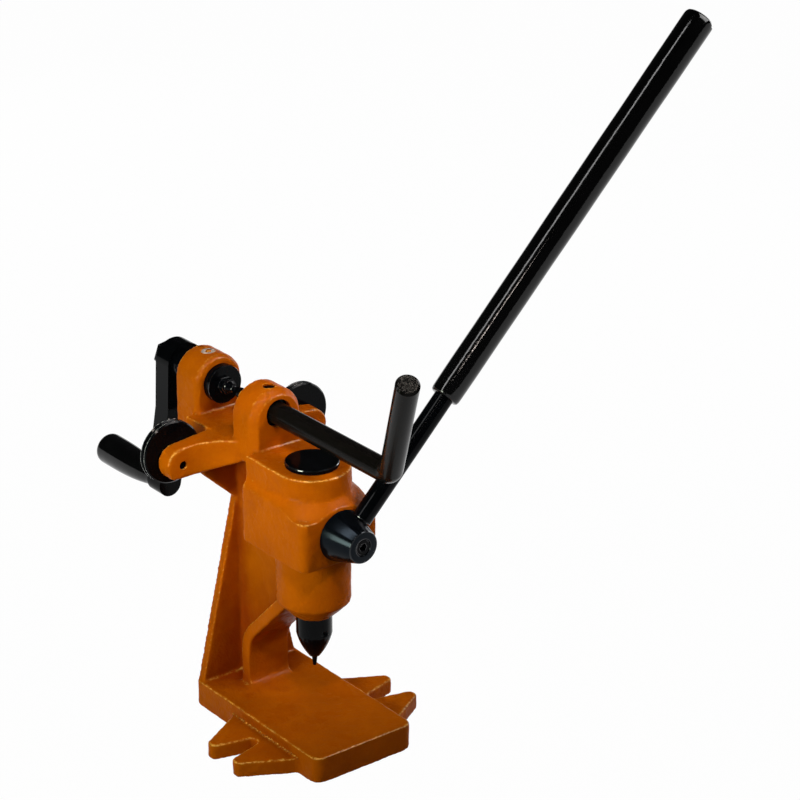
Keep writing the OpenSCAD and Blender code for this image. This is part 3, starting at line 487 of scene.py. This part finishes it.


# Chain rollers
# Two turned discs with a groove for the chain's drive links, bored off their middles and turned on their studs
# to suit the chain; the black is pale on the outer lands that the chain runs on, as wear and as painted highlights on
# the rims.
# Pale outer lands: wear from the chain, and painted highlights on the rims.
rubbed_and_highlit_black = dark_steel("black_steel_with_rubbed_and_highlit_rims", salt_black, (0.6, 0.61, 0.63),
                          rough=0.12, rim_strength=0.9, shine=0.055)
roller_y, roller_wide, roller_throw, land_from = 87.75, 6.5, 5.0, 22.7
roller_line = [(0, 0), (21.75, 0), (22.75, 1), (22.75, 1.35), (21.75, 2.35), (17.75, 2.35), (17.75, 4.15),
               (21.75, 4.15), (22.75, 5.15), (22.75, 5.5), (21.75, roller_wide), (0, roller_wide)]
flat = Vector((1, 0, 1))
for side, node_name in ((-1, "left_roller"), (1, "right_roller")):
    disc = turned(roller_line, along_y(side * axle_x, roller_y, axle_z + roller_throw), easing=0)
    middle = Vector((side * axle_x, 0, axle_z + roller_throw)) * MM
    mark_rims(disc, [f for f in disc.faces if min((v.co * flat - middle).length for v in f.verts) > land_from * MM])
    disc = cut(disc, [((side * axle_x, roller_y, axle_z), back, 3.27, roller_wide, 5, 5)])
    put_together(node_name + "_turned", disc, rubbed_and_highlit_black, node_name, [node_name])


# Lever rod and sleeve
# A blackened 14 mm bar, screwed into the hub, with a long soft vinyl sleeve pushed over its outer half;
# the sleeve has stretched a little unevenly along the bar.
lever_place = Matrix.Translation(Vector((0, -40, lever_z)) * MM) @ Matrix.Rotation(math.radians(45.0), 4, "Y")
rod_line = [(0, 4), (5, 4), (5, 15.5), (7, 15.5), (7, 429.6), (0, 429.6)]
put_together("lever_bar", turned(rod_line, lever_place), oiled_black, "lever", ["lever_rod"])

vinyl, tree, skin, place = finish_material("black_vinyl_sleeve")
marks = use_group(tree, smudges, {"Vector": place, "Smudge size": 35.0, "Scratch size": 380.0})
vinyl_tones = [(0.3, (0.0014, 0.0015, 0.0018)), (0.7, (0.0024, 0.0025, 0.003))]
sleeve_height = added(tree, noise(tree, place, 85.0), 5.0, noise(tree, place, 420.0, 3.0))
feed(tree, skin, {
    "Base Color": ramp(tree, noise(tree, place, 50.0, 4.0), vinyl_tones),
    "Roughness": stretch(tree, marks["Smudge"], 0.08, 0.13),
    "Normal": relief(tree, sleeve_height, 0.12, 0.0003),
    "Specular IOR Level": 0.28,
})

sleeve_parts, sleeve_start, sleeve_long = 40, 118.5, 312
sleeve_line = [(7.03, 430), (7.03, 116), (9.2, 116), (10.1, 116.7), (10.6, sleeve_start)]
for part in range(1, sleeve_parts):
    share = part / sleeve_parts
    unevenness = 0.09 * math.sin(23 * share) * math.sin(9 * share + 1)
    sleeve_line.append((10.68 + 0.8 * share + unevenness, sleeve_start + sleeve_long * share))
sleeve_line += [(11.5, 431.5), (11.3, 433.6), (10.6, 435.2), (9.3, 436), (5, 436), (4.2, 435.2), (0, 435.2), (0, 430)]
put_together("lever_sleeve", turned(sleeve_line[::-1], lever_place, easing=0), vinyl, "lever",
             ["lever_grip"], sharp_from=50.0)


# Crank handle
# A moulded vinyl handle, slim at the crank and full at its end,
# that turns freely on the pin riveted through the crank's arm.
crank_place = Matrix.Translation((0, 0, spindle_z * MM)) @ Matrix.Rotation(math.radians(10.8), 4, "Y")
swell_parts = 24
handle_line = [(4.07, 0), (7.1, 0), (7.5, 0.5), (7.5, 4)]
for part in range(1, swell_parts + 1):
    share = part / swell_parts
    handle_line.append((11.7 - 4.2 * (1 - share) ** 3, 4 + 59 * share))
handle_line += [(11.45, 64.6), (10.6, 65.8), (9.2, 66.4), (7.0, 66.5), (6.4, 66.0), (6.4, 58.1), (4.07, 58.1)]
put_together("crank_handle", turned(handle_line, crank_place @ along_y(0, 167.4, -91.6), easing=0), vinyl,
             "crank_grip", ["crank_grip"], sharp_from=50.0)


# Pressure screw
# A 16 mm bar, threaded where it runs in the lug's bush, bent up into a handle with a chamfered end,
# left with a dull grey-brown phosphate skin; its end face is paler, a painted reflection.
def swept_bar(radius, start_y, reach, bend_radius, bend, handle, chamfer, steps=64, bend_steps=20):
    """A round bar along -Y that bends up through an angle in the YZ plane, in mm, about its own axis height."""
    shape = bmesh.new()
    start = Matrix.Translation((0, start_y * MM, 0)) @ Matrix.Rotation(math.radians(90), 4, "X")
    bmesh.ops.create_circle(shape, cap_ends=True, segments=steps, radius=radius * MM, matrix=start)

    def pulled(faces, move):
        """The faces drawn on by a move, with the bar's sides made behind them."""
        made = bmesh.ops.extrude_face_region(shape, geom=faces)["geom"]
        corners = [g for g in made if isinstance(g, bmesh.types.BMVert)]
        bmesh.ops.translate(shape, verts=corners, vec=Vector(move) * MM)
        return [g for g in made if isinstance(g, bmesh.types.BMFace)]

    end = pulled(list(shape.faces), (0, -reach - start_y, 0))
    turn = math.radians(bend)
    bent = bmesh.ops.spin(shape, geom=end, cent=(0, -reach * MM, bend_radius * MM), axis=left, angle=turn,
                          steps=bend_steps)["geom_last"]
    bmesh.ops.delete(shape, geom=end, context="FACES_ONLY")
    end = [g for g in bent if isinstance(g, bmesh.types.BMFace)]
    way = Vector((0, -math.cos(turn), math.sin(turn)))
    for length in (handle - chamfer, chamfer):
        behind = end
        end = pulled(behind, way * length)
        bmesh.ops.delete(shape, geom=behind, context="FACES_ONLY")
    rim = list({v for f in end for v in f.verts})
    middle = sum((v.co for v in rim), Vector()) / len(rim)
    bmesh.ops.scale(shape, verts=rim, vec=Vector((1, 1, 1)) * ((radius - chamfer) / radius),
                    space=Matrix.Translation(-middle))
    bmesh.ops.recalc_face_normals(shape, faces=shape.faces)
    # The end face is marked as a rim, so it takes the pale rim tone: a painted reflection.
    mark_rims(shape, end)
    return shape


# Its pale rim tone shows on the bar's end face as a painted reflection.
phosphate_grey = dark_steel("phosphated_grey_steel", (0.0045, 0.0039, 0.0036), (0.13, 0.125, 0.12),
                            rough=0.17, rim_strength=0.6, shine=0.05)
bar = swept_bar(radius=8, start_y=61, reach=79.5, bend_radius=13, bend=58.5, handle=106, chamfer=1.5)
bar.transform(Matrix.Translation((0, 0, spindle_z * MM)) @ Matrix.Rotation(math.radians(-19.5), 4, "Y"))
put_together("bent_screw_bar", bar, phosphate_grey, "pressure_screw", ["pressure_screw"],
             sharp_from=25.0)


# Ball oiler
# A nickel-plated ring pressed into the rear lug's top, with a sprung ball that an oil can pushes in;
# the ball was painted over with the casting.
nickel, tree, skin, place = finish_material("dull_nickel")
marks = use_group(tree, smudges, {"Vector": place})
feed(tree, skin, {
    "Base Color": ramp(tree, marks["Smudge"], [(0.0, (0.74, 0.66, 0.61)), (1.0, (0.6, 0.52, 0.47))]),
    "Metallic": 0.2,
    "Roughness": 0.3,
})
oiler_foot, ball_z, ball_radius = 247.9, 251.6, 2.1
oiler_line = [(1.25, 0), (4.95, 0), (4.95, 4.6), (3.0, 4.6), (3.0, 3.4), (1.25, 3.4)]
oiler = turned(oiler_line, Matrix.Translation(Vector((0, oiler_y, oiler_foot)) * MM), easing=0.3)
ball = bmesh.ops.create_uvsphere(oiler, u_segments=24, v_segments=12, radius=ball_radius * MM,
                                 matrix=Matrix.Translation(Vector((0, oiler_y, ball_z)) * MM))["verts"]
for face in {f for v in ball for f in v.link_faces}:
    face.material_index = 1
put_together("ball_oiler", oiler, nickel, "frame", ["spindle_oiler"]).data.materials.append(enamel)


# Return spring
# A coil of spring wire on the floor of the ram's bore that lifts the ram and the lever.
plain_steel = dark_steel("ground_steel", (0.5, 0.49, 0.48), (0.62, 0.61, 0.6),
                         rough=0.26, rim_strength=0.4, shine=0.8, more={"Metallic": 0.75})
coil = put_together("return_spring", node_copy("ram_spring"), plain_steel, "frame", ["ram_spring"])
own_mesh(coil)


# Small pins, bushes, screws and shafts
# Turned bar and bought screws in their bores, with bushes of bearing bronze.
# They keep their CAD shape and take the finish of their metal.
bronze, tree, skin, place = finish_material("bearing_bronze")
marks = use_group(tree, smudges, {"Vector": place})
feed(tree, skin, {
    "Base Color": ramp(tree, marks["Smudge"], [(0.0, (0.42, 0.24, 0.075)), (1.0, (0.3, 0.16, 0.05))]),
    "Roughness": stretch(tree, marks["Scratch"], 0.28, 0.45),
    "Metallic": 1.0,
})
kept_shapes = {
    oiled_black: ["punch_set_screw", "bush_lock_screw", "shaft_retaining_screw", "pressure_bush", "pressure_anvil",
                  "left_roller_axle", "right_roller_axle", "punch_pin", "grip_pin", "crank_cross_pin"],
    plain_steel: ["lever_shaft", "spindle"],
    bronze: ["shaft_bush", "spindle_bushes"],
}
for material, names in kept_shapes.items():
    for node_name in names:
        nodes[node_name].material_slots[0].material = material


# Stage
# A wide pale floor under soft studio light: a key at the left, two gridded lamps over the front, weaker lamps at the
# right and behind, an even sky, and a panel and a strip that only show as reflections in gloss.
floor_half, floor_drop, white_share = 45.0, 0.0004, 0.985
floor_shape = bmesh.new()
bmesh.ops.create_grid(floor_shape, x_segments=1, y_segments=1, size=floor_half)
floor_mesh = bpy.data.meshes.new("floor")
floor_shape.to_mesh(floor_mesh)
floor_shape.free()
floor = bpy.data.objects.new("floor", floor_mesh)
floor.location = (0, 0, -floor_drop)
bpy.context.scene.collection.objects.link(floor)
paper = bpy.data.materials.new("white_paper")
paper.use_nodes = True
tree = paper.node_tree
tree.nodes.clear()
rays = add_node(tree, "ShaderNodeLightPath").outputs
mirrored = add_node(tree, "ShaderNodeMath", {0: rays["Is Glossy Ray"], 1: rays["Is Transmission Ray"]},
                    operation="ADD").outputs[0]
seen = add_node(tree, "ShaderNodeMath", {0: rays["Is Camera Ray"], 1: mirrored},
                operation="ADD", use_clamp=True).outputs[0]
matt = add_node(tree, "ShaderNodeBsdfDiffuse", {"Color": (0.6, 0.6, 0.6, 1.0)}).outputs[0]
glow = add_node(tree, "ShaderNodeEmission", {"Color": (1.0, 1.0, 1.0, 1.0), "Strength": 1.0}).outputs[0]
both = add_node(tree, "ShaderNodeMixShader", {"Fac": times(tree, seen, white_share), 1: matt, 2: glow}).outputs[0]
add_node(tree, "ShaderNodeOutputMaterial", {"Surface": both})
floor_mesh.materials.append(paper)

world = bpy.data.worlds.new("studio")
bpy.context.scene.world = world
world.use_nodes = True
feed(world.node_tree, world.node_tree.nodes["Background"], {"Color": (1.0, 1.0, 1.0, 1.0), "Strength": 0.03})
bpy.context.scene.view_settings.view_transform = "Standard"


def soft_box(name, place, aim, wide, tall, power, tint=(1.0, 1.0, 1.0), spread=180.0, lights=True, mirrored=True):
    """A studio lamp that faces a point, unseen by the camera; it may only light, or only be mirrored in gloss."""
    lamp = bpy.data.lights.new(name, "AREA")
    lamp.shape = "RECTANGLE"
    lamp.size = wide
    lamp.size_y = tall
    lamp.energy = power
    lamp.color = tint
    lamp.spread = math.radians(spread)
    made = bpy.data.objects.new(name, lamp)
    made.location = place
    made.rotation_euler = (Vector(aim) - Vector(place)).to_track_quat("-Z", "Y").to_euler()
    made.visible_camera = False
    made.visible_diffuse = lights
    made.visible_glossy = mirrored
    bpy.context.scene.collection.objects.link(made)


soft_box("key_light", (-0.61, -0.05, 0.31), (0.0, 0.03, 0.2), 0.22, 0.22, power=0.49,
         tint=(1.0, 1.1, 0.88), spread=70.0)
soft_box("front_light", (0.3, -0.27, 0.63), (0.0, 0.02, 0.235), 0.28, 0.28, power=0.137,
         tint=(1.0, 0.86, 0.78), spread=36.0)
soft_box("crown_light", (-0.35, -0.5, 1.0), (0.0, 0.03, 0.22), 0.1, 0.1, power=0.074,
         tint=(1.0, 0.88, 0.8), spread=20.0)
soft_box("right_light", (1.3, 0.15, 0.4), (0.0, 0.05, 0.15), 0.7, 0.7, power=6.0)
soft_box("back_light", (0.3, 1.5, 0.6), (0.0, 0.05, 0.15), 0.9, 0.9, power=7.0, mirrored=False)
soft_box("glint_panel", (0.68, -0.52, 1.04), (0.0, -0.02, 0.21), 0.8, 0.9, power=20.0, lights=False)
soft_box("streak_strip", (-0.0625, -0.05, 0.5975), (0.2, -0.04, 0.37), 0.05, 0.55, power=1.0, lights=False)
